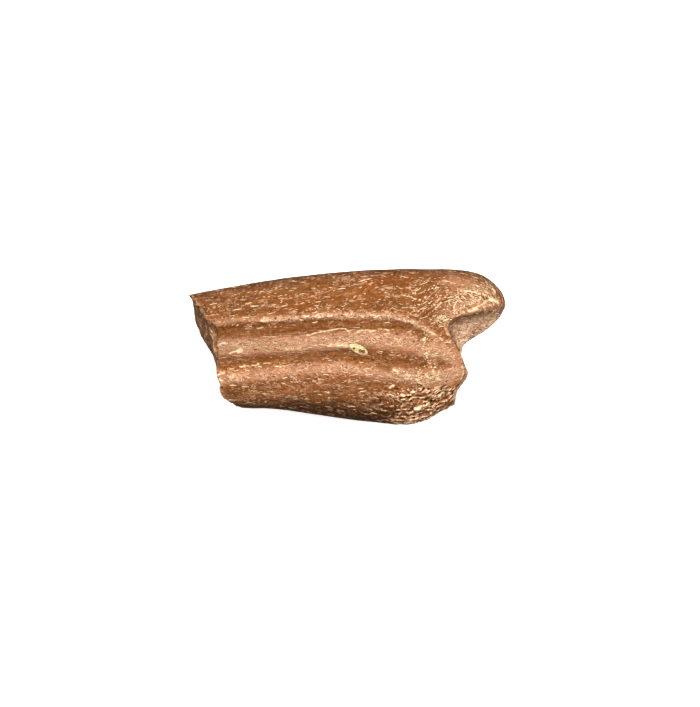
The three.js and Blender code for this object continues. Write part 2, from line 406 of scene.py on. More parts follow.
@dataclass
class Skin:
    """A fine mesh as plain arrays, in mm.

    Attributes:
        mesh: the mesh itself.
        points: where its vertices are.
        normals: which way the surface faces at each.
        edges: the pairs of vertices that are neighbours.
        pace: how far a value moves towards its neighbours' mean each time it is spread.
    """

    mesh: bpy.types.Mesh
    points: Array
    normals: Array
    edges: Array
    pace: float = 0.6

    @classmethod
    def of(cls, mesh: bpy.types.Mesh) -> "Skin":
        """Reads a mesh.

        Args:
            mesh: the mesh, in mm.

        Returns:
            Its arrays.
        """
        edges = np.empty(2 * len(mesh.edges), dtype=np.int64)
        mesh.edges.foreach_get("vertices", edges)
        skin = cls(mesh, np.empty((len(mesh.vertices), 3)), np.empty(0), edges.reshape(-1, 2))
        flat = skin.points.ravel()
        mesh.vertices.foreach_get("co", flat)
        skin.points = flat.reshape(-1, 3)
        skin.read_normals()
        return skin

    def read_normals(self) -> None:
        """Works the normals out again from the mesh."""
        flat = np.empty(3 * len(self.mesh.vertices))
        self.mesh.vertex_normals.foreach_get("vector", flat)
        self.normals = flat.reshape(-1, 3)

    def write(self) -> None:
        """Puts the points back in the mesh."""
        self.mesh.vertices.foreach_set("co", self.points.ravel())
        self.mesh.update()
        self.read_normals()

    def push(self, height: Array) -> None:
        """Moves each point out along its normal by its own height."""
        self.points += self.normals * height[:, None]
        self.write()

    def blurred(self, values: Array, rounds: int, freedom: Array | float = 1.0) -> Array:
        """Spreads values over the surface.

        Args:
            values: one row for each vertex.
            rounds: how many times each value moves towards its neighbours' mean.
            freedom: how freely it moves, from 0 to 1.

        Returns:
            The spread values.
        """
        table = values.reshape(len(values), -1).astype(float)
        ends = np.concatenate([self.edges[:, 0], self.edges[:, 1]])
        others = np.concatenate([self.edges[:, 1], self.edges[:, 0]])
        count = np.bincount(ends, minlength=len(table))
        move = np.broadcast_to(freedom, (len(table),))
        for _ in range(rounds):
            for column in table.T:
                mean = np.bincount(ends, column[others], len(table)) / count
                column += self.pace * move * (mean - column)
        return table.reshape(values.shape)


@dataclass
class ClawBone:
    """The fossil, in mm, with x along the bone, y up its side and z off the table.

    Attributes:
        node: the CAD node that it stands for.
        voxel: the spacing of its fine mesh.
        depth: the bone's depth from the belly to the back.
        thickness: how far it stands off the table.
        belly: its lower edge, seen from the side.
        back: its upper edge.
        rim: the joint face's edge, seen from the side.
        scallops: the chips in the break's upper edge, as a height on the side and how far the chip
            eats into the bone there.
        knob_edge: the worn knob's edge towards the tip, on the side, from the belly up.
        knob_top: how high the rough part reaches there.
        knob_turn: the point that its ridges run round, on the side.
        hole: the middle of the filled vessel hole.
        hole_size: half its length and half its width.
        hole_turn: how far its long axis is turned, in degrees.
        bubbles: the bubbles in its filling, as x, y and radius.
        break_x: the break is what faces the tip and lies nearer to it than this.
        lip_root: where the fibres fan out behind the lip, on the side.
        shade_reach: how far the painted shade along the belly reaches up, for each x.
        shade_strength: how dark it is there, from 0 to 1.
        dots: where fine dots of calcite lie.
        wrinkles: where fine pale wrinkles lie.
        knob_ridges: the knob's ridges.
        knob_strands: the finer strands on them.
        knob_lumps: its crumbs.
        joint_net: the joint face's wrinkles.
        bites: the bites in the break's edge.
        torn: the break's torn plates.
        torn_strands: the strands on them.
        waves: the low waves in the sides.
        fibres: the sides' fibres.
    """

    node: str = "claw"
    voxel: float = 0.2
    depth: float = 23.6
    thickness: float = 14.9
    belly: Course = ((-24, -9.3), (-10, -9.7), (0, -11.1), (8, -11.8), (12, -10.8), (16.4, -8.5))
    back: Course = ((-24, 8.1), (-10, 10.4), (0, 11.5), (8, 11.8), (16, 11.7), (20, 10.9), (23.9, 7.2))
    rim: Course = ((25.5, 6.7), (23.9, 6.1), (21.6, 5.6), (19.3, 5.05), (17, 4.5), (15.5, 3.9),
                   (15, 2.8), (15.6, 1.2), (16.8, -0.8), (17.7, -3.6), (17.4, -5), (16, -6.7),
                   (15.7, -8.2), (16.2, -9.6), (17, -13.5))
    scallops: Course = ((-2.6, 0), (-1.9, 0.55), (-1.1, 0.75), (-0.3, 0.6), (0.5, 0), (1.2, 0.25), (2, 0.4),
                        (3.4, 0.4), (3.8, -0.1), (4.3, -0.35), (4.9, 0.2), (5.4, 0.6), (6, 0.3), (6.6, 0))
    knob_edge: Course = ((5.4, -12), (6, -10.8), (7.8, -9), (7.2, -7.2), (6.5, -5.9))
    knob_top: float = -6.2
    knob_turn: tuple[float, float] = (8.0, 6.0)
    hole: tuple[float, float] = (1.65, -0.45)
    hole_size: tuple[float, float] = (1.55, 0.68)
    hole_turn: float = -28.0
    bubbles: tuple[tuple[float, float, float], ...] = ((1.9, -0.7, 0.22), (2.42, -0.82, 0.2),
                                                       (1, -0.3, 0.14))
    break_x: float = -12.0
    lip_root: tuple[float, float] = (12.8, 8.0)
    shade_reach: Course = ((-20, 2.6), (-12, 3.2), (-4, 4.4), (1, 5), (4, 6.6), (7, 6.8), (9, 3))
    shade_strength: Course = ((-20, 0.4), (-12, 0.7), (-4, 1), (7.5, 1), (9, 0.3))
    dots: tuple[Patch, ...] = (
        Patch(((12.4, 7),), 3.6, 1), Patch(((15, -1),), 2, 0.5), Patch(((10.5, -4.4),), 1.7, 1.3, 2.4),
        Patch(((11.5, 1.6), (11.9, -1.7), (12.9, -4)), 0.55, 0.9))
    wrinkles: tuple[Patch, ...] = (Patch(((16.4, 6.6), (21.4, 8)), 2.2, 0.6),
                                   Patch(((13.9, 3.8),), 1.4, 0.6))
    knob_ridges: Relief = Relief(ridged, (5, 1.1, 1.2), 0.25)
    knob_strands: Relief = Relief(ridged, (2.8, 0.4, 0.5), 0.18, 3)
    knob_lumps: Relief = Relief(rough, (1, 0.7, 0.7), 0.08, 5)
    joint_net: Relief = Relief(rough, (0.9, 0.9, 0.9), 0.06)
    bites: Relief = Relief(rough, (1.1, 0.9, 2.4), 0.5)
    torn: Relief = Relief(ridged, (3.2, 0.7, 3), 0.22)
    torn_strands: Relief = Relief(rough, (1, 0.3, 1), 0.05, 3)
    waves: Relief = Relief(rough, (7, 2.6, 3), 0.07)
    fibres: Relief = Relief(rough, (2.6, 0.55, 0.6), 0.045, 5)

    def build(self) -> bpy.types.Object:
        """Makes the carved fossil.

        Returns:
            The piece, at the origin, in metres.
        """
        solid = self.solid_in_mm()
        skin = Skin.of(self.remeshed(solid))
        zones = self.zones(solid, skin)
        self.soften(skin, zones)
        grain = self.grain(skin, zones)
        looks = self.carve_strokes(skin, zones, grain)
        worn = self.carve_knob(skin, zones)
        self.carve_ends(skin, zones, grain)
        self.carve_fibres(skin, zones, grain, worn)
        filling, bubble = self.fill_hole(skin)
        self.settle(skin)
        kept = {
            "grain_mm": grain,
            **{look.value: amount for look, amount in looks.items()},
            "worn": worn,
            "broken": skin.blurred(zones[Zone.BROKEN], rounds=1),
            "joint": skin.blurred(zones[Zone.JOINT], rounds=5),
            "chipped": self.edge_of(skin, zones[Zone.BROKEN]),
            "filling": filling,
            "bubble": bubble,
            "crest": self.standing_out(skin, rounds=60),
            "crevice": self.standing_out(skin, rounds=6),
            # Painted shade, darker towards the belly and the back edge.
            "edge_shade": self.edge_shade(skin, worn),
            "shade": self.rim_shade(skin, zones),
            "dotted": self.patched(skin, zones, self.dots),
            "wrinkled": self.patched(skin, zones, self.wrinkles),
        }
        for name, values in kept.items():
            self.keep(name, skin, values)
        return self.piece(skin.mesh)

    def solid_in_mm(self) -> bpy.types.Mesh:
        """Copies the CAD solid and merges its vertices.

        Returns:
            The copy, in mm.
        """
        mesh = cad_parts[self.node].data.copy()
        mesh.materials.clear()
        shape = bmesh.new()
        shape.from_mesh(mesh)
        shape.transform(Matrix.Scale(1 / MM, 4))
        same_place = 0.005
        bmesh.ops.remove_doubles(shape, verts=shape.verts, dist=same_place)
        shape.to_mesh(mesh)
        shape.free()
        return mesh

    def remeshed(self, solid: bpy.types.Mesh) -> bpy.types.Mesh:
        """Makes an even, fine mesh of the same shape.

        Args:
            solid: the CAD solid, in mm.

        Returns:
            The fine mesh.
        """
        helper = bpy.data.objects.new("remesh_helper", solid)
        bpy.context.collection.objects.link(helper)
        remesh = helper.modifiers.new("even", "REMESH")
        remesh.mode = "VOXEL"
        remesh.voxel_size = self.voxel
        view = bpy.context.evaluated_depsgraph_get()
        fine = bpy.data.meshes.new_from_object(helper.evaluated_get(view))
        bpy.data.objects.remove(helper)
        return fine

    def zones(self, solid: bpy.types.Mesh, skin: Skin) -> dict[Zone, Array]:
        """Finds which kind of surface each point of the fine mesh is on.

        Args:
            solid: the CAD solid.
            skin: the fine mesh.

        Returns:
            For each zone, 1 where a point is in it and 0 elsewhere.
        """
        shape = bmesh.new()
        shape.from_mesh(solid)
        shape.faces.ensure_lookup_table()
        tree = BVHTree.FromBMesh(shape)
        rim = [Vector((x, y)) for x, y in self.rim]
        kinds = []
        for face in shape.faces:
            middle = face.calc_center_median()
            faces_tip = face.normal.x < -0.5
            if faces_tip and middle.x < self.break_x:
                kinds.append(Zone.BROKEN)
            elif self.past_rim(middle, rim):
                kinds.append(Zone.JOINT)
            else:
                kinds.append(Zone.SIDE)
        found = [kinds[tree.find_nearest(point)[2]] for point in skin.points.tolist()]
        shape.free()
        return {zone: np.array([kind is zone for kind in found], dtype=float) for zone in Zone}

    @staticmethod
    def past_rim(place: Vector, rim: list[Vector]) -> bool:
        """Says whether a place, seen from the side, is on the joint's side of its rim.

        Args:
            place: the place.
            rim: the points of the rim.

        Returns:
            Whether it is. Places just inside the rim, by less than the slack, don't count.
        """
        slack = 0.12
        crossings = 0
        for start, end in zip(rim, rim[1:]):
            if (start.y > place.y) != (end.y > place.y):
                share = (place.y - start.y) / (end.y - start.y)
                crossings += start.x + share * (end.x - start.x) < place.x - slack
        return crossings % 2 == 1

    @staticmethod
    def edge_of(skin: Skin, zone: Array) -> Array:
        """Returns 1 along a zone's outer edge, fading within about half a millimetre of it."""
        return halfway(skin.blurred(zone, 8)) * (1 - zone)

    @staticmethod
    def soften(skin: Skin, zones: dict[Zone, Array]) -> None:
        """Smooths the facets of the solid away, and keeps the edges of its ends.

        Args:
            skin: the fine mesh.
            zones: the kinds of surface.
        """
        edge = np.zeros(len(skin.points))
        for zone in (Zone.BROKEN, Zone.JOINT):
            edge = np.maximum(edge, halfway(skin.blurred(zones[zone], 4)))
        held = 0.93
        skin.points = skin.blurred(skin.points, 26, 1 - held * edge)
        skin.write()

    def grain(self, skin: Skin, zones: dict[Zone, Array]) -> Array:
        """Returns places on the bone's fibres, which run along it and follow its outline.

        Args:
            skin: the fine mesh.
            zones: the kinds of surface.

        Returns:
            For each point of the sides, how far it is along the fibres, around them from the back
            edge, and out from their middle; for each point of the break, how far up it is, its level and
            its depth in the bone; for each point of the joint face, its own place.
        """
        x, y, z = skin.points.T
        belly, back = along(self.belly, x), along(self.back, x)
        up = (2 * y - back - belly) / (back - belly)
        out = np.abs(2 * z / self.thickness - 1)
        turns = np.linspace(0, math.pi, 61)
        ring = np.stack([self.depth / 2 * np.cos(turns), self.thickness / 2 * np.sin(turns)])
        lengths = np.concatenate([[0], np.cumsum(np.hypot(*np.diff(ring)))])
        around = np.interp(np.arctan2(out, up), turns, lengths)
        # Behind the lip the fibres fan out, and over the belly they rise towards the joint.
        past_root, over_root = x - self.lip_root[0], y - self.lip_root[1]
        fan = 0.65 * past_root * bell(np.hypot(past_root, over_root), 3.6)
        slant = 0.2 * np.clip(x + 2, -8, 8) * bell(y + 6.5, 2.8)
        level = self.thickness / 2 * np.hypot(up, out)
        sides = np.stack([x, around + fan + slant, 0.8 * level + 0.35 * z], axis=1)
        inside = np.stack([y, 0.4 * z, x], axis=1)
        ends = np.where(zones[Zone.BROKEN][:, None] > 0, inside, skin.points)
        return np.where(zones[Zone.SIDE][:, None] > 0, sides, ends)

    @staticmethod
    def carve_strokes(skin: Skin, zones: dict[Zone, Array], grain: Array) -> dict[Look, Array]:
        """Carves the named ridges and furrows.

        Args:
            skin: the fine mesh.
            zones: the kinds of surface.
            grain: the places along the fibres.

        Returns:
            For each look, how strongly each point has it, from 0 to 1.
        """
        height = np.zeros(len(grain))
        looks = {look: np.zeros(len(grain)) for look in Look}
        wander = 0.16 * sampled(rough, skin.points, (1.6, 1.6, 4))
        x, y = skin.points[:, 0] + wander, skin.points[:, 1] + wander
        side = skin.normals[:, 2] * (1 - zones[Zone.BROKEN]) * (1 - zones[Zone.JOINT])
        uneven = 1 + 0.7 * sampled(rough, grain, (1.1, 0.5, 2))
        gaps = eased(0.2, -0.15, sampled(rough, grain + 13, (0.9, 0.5, 1)))
        edge_on = 0.05
        for look, stroke in [(look, stroke) for look in Look for stroke in STROKES[look]]:
            line = curved(stroke.course)
            low, high = line.min(axis=0) - 3 * stroke.width, line.max(axis=0) + 3 * stroke.width
            near = (x > low[0]) & (x < high[0]) & (y > low[1]) & (y < high[1])
            facing = side if stroke.reach is Reach.UPPER else np.abs(side)
            near = np.flatnonzero(near & (facing > edge_on))
            body = bell(distance_to(line, x[near], y[near]), stroke.width)
            body *= eased(edge_on, 0.4, facing[near])
            height[near] += stroke.rise * body * uneven[near]
            shown = stroke.amount * body * (1 - stroke.patchy * gaps[near])
            looks[look][near] = np.maximum(looks[look][near], shown)
            log.debug("carved the %s", stroke.name)
        skin.push(height)
        return looks

    def carve_knob(self, skin: Skin, zones: dict[Zone, Array]) -> Array:
        """Wears the tendon's knob down to rough, ridged bone.

        Args:
            skin: the fine mesh.
            zones: the kinds of surface.

        Returns:
            How rough each point is, from 0 to 1.
        """
        x, y, z = skin.points.T
        edge_x, edge_y = np.array(self.knob_edge).T
        ragged = 0.5 * sampled(rough, skin.points, (1.8, 1.8, 1.8))
        from_left = x - np.interp(y, edge_y, edge_x) + ragged
        from_top = self.knob_top + 0.07 * (x - edge_x[-1]) - y + 1.4 * ragged
        # It is rough below its ragged top edge, and slightly rough for a few mm above it.
        strong = eased(0, 0.4, from_left) * eased(-0.2, 0.9, from_top)
        slight = eased(0, 1, from_left) * eased(-2.6, 0, from_top) * 0.3
        worn = np.maximum(strong, slight) * (1 - 0.6 * zones[Zone.JOINT])
        right, up = x - self.knob_turn[0], self.knob_turn[1] - y
        bends = 0.6 * sampled(rough, skin.points, (2.4, 1.6, 2))
        usual_radius = 16
        ropes = np.stack([usual_radius * np.arctan2(right, up), np.hypot(right, up) + bends, z], axis=1)
        raised = self.knob_ridges.at(ropes) + self.knob_strands.at(ropes)
        pits = -0.25 * eased(0.35, 0.1, sampled(cell_middle, ropes, (1.5, 0.8, 0.8)))
        height = raised - raised.mean() + self.knob_lumps.at(ropes) + pits
        deepest, highest = -0.6, 0.4
        skin.push(np.clip(worn * height, deepest, highest))
        return worn

    def carve_ends(self, skin: Skin, zones: dict[Zone, Array], grain: Array) -> None:
        """Wrinkles the joint face, and tears the snapped end and chips its edge.

        Args:
            skin: the fine mesh.
            zones: the kinds of surface.
            grain: the places along the fibres.
        """
        edge = halfway(skin.blurred(zones[Zone.BROKEN], 14))
        deepest = 0.4
        bites = np.clip(self.bites.at(skin.points * (0.3, 1, 1)), -deepest, deepest)
        high = eased(0.45, 0.75, skin.points[:, 2] / self.thickness)
        skin.points[:, 0] += edge * (bites + high * along(self.scallops, skin.points[:, 1]))
        skin.write()
        torn = self.torn.at(grain) + self.torn_strands.at(grain)
        net = self.joint_net.at(skin.points)
        skin.push(zones[Zone.JOINT] * net + zones[Zone.BROKEN] * (torn - torn.mean()))

    def carve_fibres(self, skin: Skin, zones: dict[Zone, Array], grain: Array, worn: Array) -> None:
        """Covers the sides with fine fibres, low waves and scattered pores.

        Args:
            skin: the fine mesh.
            zones: the kinds of surface.
            grain: the places along the fibres.
            worn: how rough each point is already.
        """
        side = zones[Zone.SIDE] * (1 - worn)
        middles = sampled(cell_middle, grain + 2, (1.7, 0.85, 0.9))
        crowd = eased(-0.1, 0.35, sampled(rough, grain + 9, (5, 2.5, 3)))
        pores = -0.14 * eased(0.3, 0.1, middles) * crowd
        skin.push(side * (self.waves.at(grain) + self.fibres.at(grain) + pores))

    def fill_hole(self, skin: Skin) -> tuple[Array, Array]:
        """Sinks the vessel hole and sets its filling in it.

        Args:
            skin: the fine mesh.

        Returns:
            Where the filling is, from 0 to 1, and how far outside the nearest bubble's wall each
            point is, in mm.
        """
        x, y = skin.points[:, 0], skin.points[:, 1]
        turn = math.radians(self.hole_turn)
        lengthways = (x - self.hole[0]) * math.cos(turn) + (y - self.hole[1]) * math.sin(turn)
        across = (y - self.hole[1]) * math.cos(turn) - (x - self.hole[0]) * math.sin(turn)
        out = np.hypot(lengthways / self.hole_size[0], across / self.hole_size[1])
        upper = skin.normals[:, 2] > 0.2
        filling = eased(1.08, 0.9, out) * upper
        wall = np.full(len(x), FAR)
        for middle_x, middle_y, radius in self.bubbles:
            wall = np.minimum(wall, np.hypot(x - middle_x, y - middle_y) - radius)
        moat = -0.12 * bell(out - 1.1, 0.12) * upper
        dome = 0.1 * filling * (1 - np.minimum(out, 1) ** 2) - 0.08 * filling
        skin.push(moat + dome - 0.1 * bell(wall, 0.09) * filling)
        return filling, np.where(upper, wall, FAR)

    @staticmethod
    def settle(skin: Skin) -> None:
        """Keeps the carved bone from reaching into the table."""
        skin.points[:, 2] = np.maximum(skin.points[:, 2], 0)
        skin.write()

    @staticmethod
    def standing_out(skin: Skin, rounds: int) -> Array:
        """Returns how far each point stands out, in mm; more rounds take in more surroundings."""
        return ((skin.points - skin.blurred(skin.points, rounds)) * skin.normals).sum(axis=1)

    def edge_shade(self, skin: Skin, worn: Array) -> Array:
        """Works out the painted shade along the belly and the back edge.

        Args:
            skin: the fine mesh.
            worn: how rough each point is; the rough knob gets less of the painted shade.

        Returns:
            How darkly each point is painted in shade, from 0 to 1.
        """
        x, y, _ = skin.points.T
        ragged = 0.3 * sampled(rough, skin.points, (3, 1.4, 2))
        above = (y - along(self.belly, x)) / along(self.shade_reach, x)
        low = along(self.shade_strength, x) * (1 - 0.7 * worn) * eased(1, 0, above + ragged)
        high = 0.4 * eased(2.2, 0, along(self.back, x) - y + 2 * ragged)
        return np.maximum(low, high)

    def rim_shade(self, skin: Skin, zones: dict[Zone, Array]) -> Array:
        """Works out the painted shade in the joint's hollow, under the lip.

        Args:
            skin: the fine mesh.
            zones: the kinds of surface.

        Returns:
            How much painted shade lies at each point, from 0 to 1: a broad shade, and a narrow line by the
            rim.
        """
        x, y, _ = skin.points.T
        ragged = 0.3 * sampled(rough, skin.points, (1.2, 1.2, 1.2))
        round_hollow, past_hollow = curved(self.rim[1:7]), curved(self.rim[1:9])
        broad = eased(2.3, 0.2, distance_to(round_hollow, x, y) + ragged)
        narrow = eased(0.75, 0.15, distance_to(past_hollow, x, y) + 0.6 * ragged)
        return zones[Zone.JOINT] * np.maximum(0.8 * broad, narrow)

    @staticmethod
    def patched(skin: Skin, zones: dict[Zone, Array], patches: tuple[Patch, ...]) -> Array:
        """Returns how thickly some patches cover each point of the sides, from 0 to 1."""
        x, y, _ = skin.points.T
        return zones[Zone.SIDE] * np.clip(sum(patch.at(x, y) for patch in patches), 0, 1)

    @staticmethod
    def keep(name: str, skin: Skin, values: Array) -> None:
        """Stores values on the mesh, for the finish to read.

        Args:
            name: what the finish calls them.
            skin: the fine mesh.
            values: a number or three for each point.
        """
        vector = values.ndim == 2
        kind = "FLOAT_VECTOR" if vector else "FLOAT"
        attribute = skin.mesh.attributes.new(name, kind, "POINT")
        attribute.data.foreach_set("vector" if vector else "value", values.ravel())

    @staticmethod
    def piece(mesh: bpy.types.Mesh) -> bpy.types.Object:
        """Turns the finished mesh into a piece.

        Args:
            mesh: the mesh, in mm.

        Returns:
            The piece, in metres.
        """
        mesh.transform(Matrix.Scale(MM, 4))
        mesh.polygons.foreach_set("use_smooth", [True] * len(mesh.polygons))
        bone = bpy.data.objects.new("fossil_claw", mesh)
        bpy.context.collection.objects.link(bone)
        return bone


# The finish


class Kind(Enum):
    """How a pattern in the bone is made."""

    CLOUD = "cloud"
    THREAD = "thread"
    DASH = "dash"


@dataclass(frozen=True)
class Pattern:
    """One pattern in the bone, which follows its fibres.

    Attributes:
        kind: how it is made.
        size: how long, wide and deep its features or its cells are, in mm.
        detail: how many finer octaves a cloud has.
        warp: how wavy a cloud is.
        mark: half the length, width and depth of the largest dashes, in mm.
        bare: the share of the cells that hold no dash.
        turn: how far a dash may turn from the fibres, in degrees.
    """

    kind: Kind
    size: tuple[float, float, float]
    detail: float = 2.0
    warp: float = 0.5
    mark: tuple[float, float, float] = (1.0, 1.0, 1.0)
    bare: float = 0.4
    turn: float = 14.0


# The real pores and fibres go down to about 0.05 mm. Here the thinnest marks are 0.16 mm wide, which
# is as fine as shows. A pattern's number in this list sets its place in the noise.
PATTERNS = {
    "mottle": Pattern(Kind.CLOUD, (2.8, 1.5, 4), 3),
    "rust clouds": Pattern(Kind.CLOUD, (6, 2.8, 6), 2),
    "grey clouds": Pattern(Kind.CLOUD, (5, 1.8, 5), 2),
    "streak": Pattern(Kind.CLOUD, (0.9, 0.32, 0.8), 3, 0.7),
    "speck": Pattern(Kind.CLOUD, (0.38, 0.22, 0.4), 2, 0.4),
    "worm": Pattern(Kind.THREAD, (1.2, 0.62, 0.9), 1, 1.2),
    "curl": Pattern(Kind.THREAD, (1, 0.7, 0.8), 1, 1.2),
    "busy": Pattern(Kind.CLOUD, (2.6, 1.3, 3), 2),
    "crowd": Pattern(Kind.CLOUD, (4.4, 1.9, 3), 2),
    "dash": Pattern(Kind.DASH, (1.8, 0.5, 1.3), mark=(0.8, 0.08, 0.6), bare=0.35),
    "belly dash": Pattern(Kind.DASH, (1.8, 0.42, 1.2), mark=(0.85, 0.08, 0.7), bare=0.3, turn=8),
    "small dash": Pattern(Kind.DASH, (0.8, 0.36, 0.8), mark=(0.28, 0.085, 0.5), bare=0.7, turn=35),
    "dot": Pattern(Kind.DASH, (0.6, 0.42, 0.6), mark=(0.23, 0.105, 0.35), bare=0.25, turn=25),
    "pit": Pattern(Kind.DASH, (1.3, 0.8, 1), mark=(0.22, 0.15, 0.4), bare=0.6),
    "vein": Pattern(Kind.THREAD, (2, 1.5, 1.8), 2, 1.4),
}


@dataclass(frozen=True)
class Where:
    """A place to cover: none of it where a pattern or kept value is low, all where it is high."""

    source: str
    low: float
    high: float


@dataclass(frozen=True)
class Coat:
    """One colour over the others.

    Attributes:
        colour: its name among the finish's colours.
        amount: how much it hides of what is under it, from 0 to 1.
        places: where it lies, which is where all of these hold.
    """

    colour: str
    amount: float
    places: tuple[Where, ...]


@dataclass(frozen=True)
class Step:
    """One fine height on the surface.

    Attributes:
        height: how far it stands out, in mm; a pit's is negative.
        places: where it is, which is where all of these hold.
    """

    height: float
    places: tuple[Where, ...]


COATS = (
    # The mottled ground
    Coat("tan", 1.0, (Where("mottle", 0.4, 0.6),)),
    Coat("rust", 0.6, (Where("rust clouds", 0.5, 0.62),)),
    Coat("dull", 0.3, (Where("grey clouds", 0.54, 0.68),)),
    # Painted sheen where the surface stands out, painted shade where it lies low, and worn strokes, partly
    # sheen
    Coat("worn", 0.25, (Where("crest", 0.05, 0.3),)),
    Coat("dirt_and_shade", 0.3, (Where("crest", 0.0, -0.3),)),
    Coat("worn", 0.88, (Where("rubbed_and_sheen", 0.0, 0.9),)),
    # The other kinds of surface
    Coat("joint", 0.95, (Where("joint", 0.2, 0.8),)),
    Coat("knob", 0.75, (Where("worn", 0.2, 0.9),)),
    Coat("broken", 1.0, (Where("broken", 0.2, 0.8),)),
    # Pale threads with dark sides: fine wrinkles, painted with a highlight along them and shade beside them
    Coat("dirt_and_shade", 0.5, (Where("worm", 0.12, 0.06), Where("busy", 0.48, 0.57))),
    Coat("pale", 0.5, (Where("worm", 0.055, 0.02), Where("busy", 0.48, 0.57))),
    # Grooves: partly the bone's own dark colour, partly painted shade; painted shade on the belly and back
    Coat("tan", 0.55, (Where("stained_and_shaded", 0.05, 0.45),)),
    Coat("dirt_and_shade", 0.55, (Where("stained_and_shaded", 0.35, 1.0),)),
    Coat("belly", 0.95, (Where("edge_shade", 0.0, 0.85),)),
    # Fine streaks and specks along the fibres
    Coat("dirt_and_shade", 0.35, (Where("streak", 0.46, 0.37),)),
    Coat("worn", 0.25, (Where("streak", 0.55, 0.64),)),
    Coat("dirt_and_shade", 0.3, (Where("speck", 0.41, 0.32),)),
    Coat("worn", 0.3, (Where("speck", 0.6, 0.68),)),
    # Wrinkles on the lip and curls on the crests: pale cores with painted shade beside them
    Coat("dirt_and_shade", 0.6, (Where("worm", 0.16, 0.08), Where("wrinkled", 0.1, 0.6))),
    Coat("calcite_and_highlight", 0.6, (Where("worm", 0.06, 0.02), Where("wrinkled", 0.1, 0.6))),
    Coat("dirt_and_shade", 0.6, (Where("curl", 0.14, 0.08), Where("rubbed_and_sheen", 0.3, 0.8))),
    Coat("calcite_and_highlight", 0.55, (Where("curl", 0.05, 0.02), Where("rubbed_and_sheen", 0.3, 0.8))),
    # The joint's hollow: painted shade under the lip and a darker painted line by the rim; curls and veins
    Coat("dirt_and_shade", 0.75, (Where("shade", 0.0, 1.0),)),
    Coat("iron_and_shade", 0.4, (Where("shade", 0.65, 1.0),)),
    Coat("dirt_and_shade", 0.35, (Where("curl", 0.07, 0.02), Where("joint", 0.2, 0.8))),
    Coat("pale", 0.6, (Where("curl", 0.1, 0.16), Where("joint", 0.2, 0.8))),
    Coat("dirt_and_shade", 0.65, (Where("vein", 0.04, 0.01), Where("joint", 0.2, 0.8))),
    # Painted shade in fine crevices and painted highlights on thin edges, strongest on the knob
    Coat("iron_and_shade", 0.6, (Where("crevice", -0.03, -0.12),)),
    Coat("iron_and_shade", 0.9, (Where("crevice", 0.0, -0.05), Where("worn", 0.3, 0.8))),
    Coat("pale", 0.6, (Where("crevice", 0.03, 0.1),)),
    Coat("calcite_and_highlight", 0.75, (Where("crevice", 0.03, 0.09), Where("worn", 0.3, 0.8))),
    # The break's pale edge and pale strokes, partly painted highlights; painted shade round pale marks
    Coat("chip_and_highlight", 0.85, (Where("chipped", 0.5, 0.9),)),
    Coat("calcite_and_highlight", 0.9, (Where("chalky_and_highlight", 0.25, 0.75), Where("streak", 0.36, 0.5))),
    Coat("pale", 0.5, (Where("belly dash", 0.1, 0.4), Where("edge_shade", 0.15, 0.5))),
    # A painted shade round each pale mark, as round a pit.
    Coat("dirt_and_shade", 0.6, (Where("dash", -0.5, -0.1), Where("crowd", 0.4, 0.48))),
    Coat("calcite_and_highlight", 0.95, (Where("dash", 0.0, 0.2), Where("crowd", 0.4, 0.48),
                           Where("stained_and_shaded", 0.6, 0.25))),
    Coat("dirt_and_shade", 0.45, (Where("small dash", -0.5, -0.1),)),
    Coat("pale", 0.85, (Where("small dash", 0.0, 0.3), Where("stained_and_shaded", 0.6, 0.25))),
    Coat("dirt_and_shade", 0.55, (Where("dot", -0.9, -0.1), Where("dotted", 0.2, 0.7))),
    Coat("calcite_and_highlight", 0.9, (Where("dot", 0.0, 0.15), Where("dotted", 0.2, 0.7))),
    # Open pores
    Coat("iron_and_shade", 0.9, (Where("pit", 0.0, 0.4),)),
    # The vessel hole's filling, with a painted shadow round it and dark bubbles
    Coat("iron_and_shade", 0.5, (Where("filling", 0.0, 0.25),)),
    Coat("filling", 1.0, (Where("filling", 0.4, 0.8),)),
    Coat("tan", 0.45, (Where("streak", 0.53, 0.43), Where("filling", 0.5, 0.9))),
    Coat("dirt_and_shade", 0.6, (Where("speck", 0.44, 0.36), Where("filling", 0.5, 0.9))),
    Coat("tan", 0.6, (Where("bubble", 0.05, -0.05), Where("filling", 0.5, 0.9))),
    Coat("iron_and_shade", 0.85, (Where("bubble", 0.11, 0.03), Where("bubble", -0.14, -0.04),
                        Where("filling", 0.5, 0.9))),
)

STEPS = (
    Step(0.09, (Where("streak", 0.35, 0.65),)),
    Step(0.04, (Where("speck", 0.35, 0.65),)),
    Step(0.035, (Where("worm", 0.1, 0.03), Where("busy", 0.44, 0.56))),
    Step(0.04, (Where("dash", 0.0, 0.4), Where("crowd", 0.4, 0.52))),
    Step(-0.04, (Where("dash", -0.8, -0.1), Where("crowd", 0.4, 0.52))),
    Step(0.05, (Where("dot", -0.3, 0.4), Where("dotted", 0.2, 0.7))),
    Step(-0.1, (Where("pit", -0.4, 0.4),)),
    Step(-0.05, (Where("curl", 0.1, 0.03), Where("joint", 0.2, 0.8))),
    Step(-0.08, (Where("vein", 0.07, 0.02), Where("joint", 0.2, 0.8))),
)


